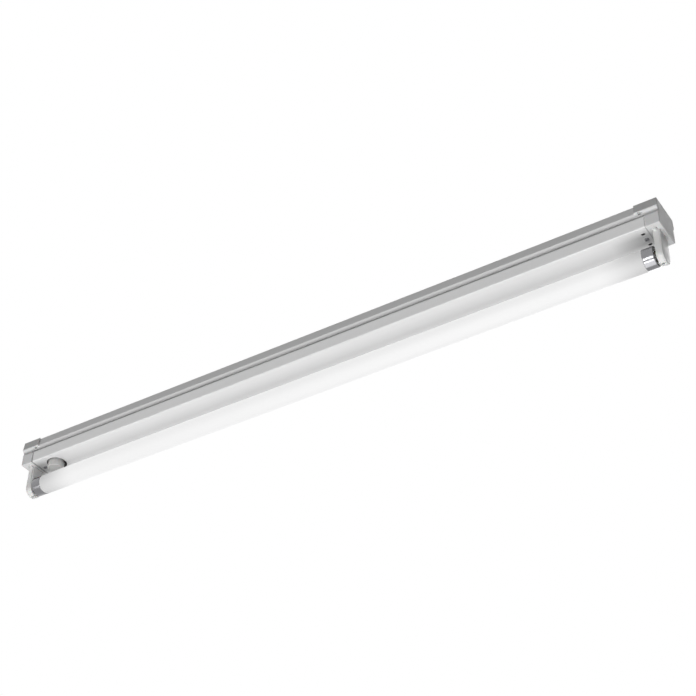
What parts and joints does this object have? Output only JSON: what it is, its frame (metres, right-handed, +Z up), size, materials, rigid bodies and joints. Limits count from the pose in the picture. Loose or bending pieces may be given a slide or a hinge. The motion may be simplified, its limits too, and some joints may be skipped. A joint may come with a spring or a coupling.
{
  "type": "batten light",
  "caption": "Slim ceiling batten light: folded spine, snap-in gear tray, end caps, tombstone lampholders, a quarter-turn tube lamp and a twist-in starter.",
  "frame": {"origin": "middle of the spine's ceiling face, half way between the two fixing slots", "axes": "+X along the lamp towards the end without the starter, +Z up into the ceiling"},
  "size_m": [0.925, 0.0476, 0.077],
  "materials": {
    "painted_steel": "white stoved enamel, satin",
    "cap_plastic": "pale grey moulding",
    "holder_plastic": "white moulding",
    "contact_bronze": "spring strip",
    "lamp_glass": "white phosphor-coated tube",
    "lamp_metal": "drawn caps",
    "pin_brass": "turned",
    "insulator_board": "brown board",
    "clear_glass": "clear",
    "lead_wire": "drawn wire",
    "starter_plastic": "white moulding",
    "base_board": "brown board",
    "gear_plastic": "white moulding",
    "socket_plastic": "black moulding",
    "lamination_steel": "varnished laminations",
    "copper_winding": "varnished copper",
    "plated_steel": "zinc plated",
    "grommet_rubber": "black",
    "wire_brown": "insulated core",
    "wire_white": "insulated core",
    "wire_blue": "insulated core",
    "wire_green": "insulated core"
  },
  "bodies": {
    "housing": {"mounting_spine": "painted_steel", "gear_cover": "painted_steel", "end_cap_left": "cap_plastic", "end_cap_right": "cap_plastic", "lampholder_left": "holder_plastic", "lampholder_right": "holder_plastic", "holder_back_left": "holder_plastic", "holder_back_right": "holder_plastic", "holder_contacts_left": "contact_bronze", "holder_contacts_right": "contact_bronze", "cover_bracket_left": "plated_steel", "cover_bracket_right": "plated_steel", "cover_screws": "plated_steel", "starter_socket": "socket_plastic", "starter_contacts": "contact_bronze", "ballast_core": "lamination_steel", "ballast_winding": "copper_winding", "ballast_terminals": "gear_plastic", "ballast_screws": "plated_steel", "terminal_block": "gear_plastic", "terminal_clamps": "pin_brass", "terminal_screws": "plated_steel", "earth_screw": "plated_steel", "cable_grommet": "grommet_rubber", "live_wire": "wire_brown", "ballast_wire": "wire_white", "starter_wire_right": "wire_white", "starter_wire_left": "wire_white", "neutral_wire": "wire_blue", "earth_wire": "wire_green"},
    "lamp": {"lamp_tube": "lamp_glass", "lamp_cap_left": "lamp_metal", "lamp_cap_right": "lamp_metal", "lamp_insulator_left": "insulator_board", "lamp_insulator_right": "insulator_board", "lamp_pins_left": "pin_brass", "lamp_pins_right": "pin_brass", "lamp_stem_left": "clear_glass", "lamp_stem_right": "clear_glass", "lamp_cathode_left": "lead_wire", "lamp_cathode_right": "lead_wire"},
    "rotor_left": {"holder_rotor_left": "holder_plastic"},
    "rotor_right": {"holder_rotor_right": "holder_plastic"},
    "starter": {"starter_can": "starter_plastic", "starter_base": "base_board", "starter_pins": "pin_brass", "starter_glow_bulb": "clear_glass"}
  },
  "joints": [
    {"name": "lamp_twist", "type": "hinge", "parent": "housing", "child": "lamp", "pos_m": [0, 0, -0.0632], "axis": [1, 0, 0], "range_deg": [0, 90]},
    {"name": "rotor_left_turn", "type": "hinge", "parent": "housing", "child": "rotor_left", "pos_m": [-0.449, 0, -0.0632], "axis": [1, 0, 0], "range_deg": [0, 90]},
    {"name": "rotor_right_turn", "type": "hinge", "parent": "housing", "child": "rotor_right", "pos_m": [0.449, 0, -0.0632], "axis": [1, 0, 0], "range_deg": [0, 90]},
    {"name": "starter_twist", "type": "hinge", "parent": "housing", "child": "starter", "pos_m": [-0.4195, 0, -0.0342], "axis": [0, 0, 1], "range_deg": [0, 45]}
  ],
  "couplings": [
    {"joint": "rotor_left_turn", "follows": "lamp_twist", "ratio": 1},
    {"joint": "rotor_right_turn", "follows": "lamp_twist", "ratio": 1}
  ]
}
